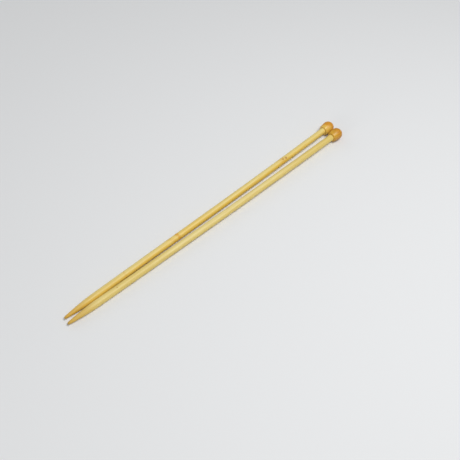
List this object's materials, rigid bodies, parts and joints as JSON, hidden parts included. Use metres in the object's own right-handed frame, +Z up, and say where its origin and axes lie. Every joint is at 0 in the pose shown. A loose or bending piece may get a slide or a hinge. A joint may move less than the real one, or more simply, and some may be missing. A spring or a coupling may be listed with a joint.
{
  "type": "straight knitting needles",
  "caption": "Straight bamboo knitting needles, each a slim round shaft with a tapered tip and a turned wooden end knob that stops the stitches sliding off.",
  "frame": {"origin": "on the table, under the middle of the two needles' bounding box", "axes": "+X from the points to the knobs, +Y towards the left needle as seen from the points, +Z up"},
  "size_m": [0.3508, 0.0258, 0.0128],
  "materials": {
    "left_bamboo": "satin lacquer over warm yellow bamboo with fine lengthwise fibres",
    "right_bamboo": "satin lacquer over paler bamboo with fine lengthwise fibres",
    "knob_wood": "glossy lacquer over honey-brown close-grained wood"
  },
  "bodies": {
    "left_needle": {"left_shaft": "left_bamboo", "left_knob": "knob_wood"},
    "right_needle": {"right_shaft": "right_bamboo", "right_knob": "knob_wood"}
  },
  "joints": [
    {"name": "right_needle_lift", "type": "slide", "parent": "left_needle", "child": "right_needle", "axis": [0, 0, 1], "range_m": [0, 0.05]}
  ]
}
